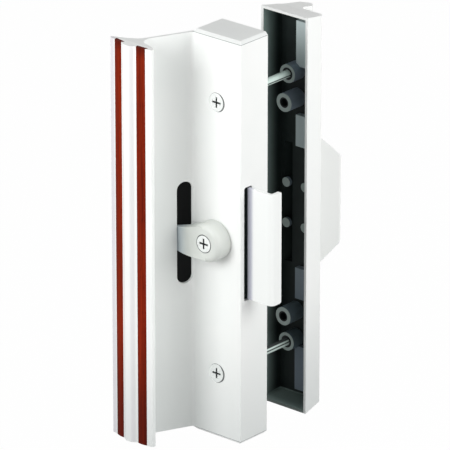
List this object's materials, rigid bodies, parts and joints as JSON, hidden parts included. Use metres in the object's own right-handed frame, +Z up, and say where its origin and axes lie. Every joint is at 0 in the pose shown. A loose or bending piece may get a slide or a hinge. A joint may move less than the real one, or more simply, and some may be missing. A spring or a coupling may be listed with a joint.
{
  "type": "sliding patio door handle",
  "caption": "Sliding patio door handle set: inside grip on a leaning web with a thumb lever and clamp hook, and a hollow outside pull screwed to it through the door.",
  "frame": {"origin": "on the plane of the inside pull's door face, midway between the two mounting screws", "axes": "+X towards the side where the clamp hook comes out, +Y into the door and out to the outside pull, +Z up along the pulls"},
  "size_m": [0.0631, 0.1042, 0.186],
  "materials": {
    "white_enamel": "satin",
    "white_cast": "satin",
    "white_nylon": "satin",
    "red_wood": "satin",
    "black_nylon": "matt",
    "zinc_plate": "bright",
    "spring_steel": "satin"
  },
  "bodies": {
    "pulls": {"inside_pull": "white_enamel", "top_end_cap": "white_nylon", "bottom_end_cap": "white_nylon", "outer_wood_strip": "red_wood", "inner_wood_strip": "red_wood", "upper_mounting_screw": "zinc_plate", "lower_mounting_screw": "zinc_plate", "lever_guard": "black_nylon", "upper_guard_rivet": "zinc_plate", "lower_guard_rivet": "zinc_plate", "latch_frame": "zinc_plate", "hinge_pin": "zinc_plate", "pin_clip": "spring_steel", "outside_pull": "white_cast"},
    "lever": {"thumb_lever": "white_cast", "lever_screw": "zinc_plate", "lever_cam": "zinc_plate", "cam_spring": "spring_steel", "lever_washer": "white_nylon"},
    "clamp": {"clamp_plate": "white_enamel"}
  },
  "joints": [
    {"name": "lever_turn", "type": "hinge", "parent": "pulls", "child": "lever", "pos_m": [-0.0005, -0.018, 0], "axis": [0, 1, 0], "range_deg": [-34, 44]},
    {"name": "clamp_swing", "type": "hinge", "parent": "pulls", "child": "clamp", "pos_m": [0.008, -0.0044, 0], "axis": [0, 0, 1], "range_deg": [-7, 5.5]}
  ],
  "couplings": [
    {"joint": "clamp_swing", "follows": "lever_turn", "ratio": -0.1562}
  ]
}
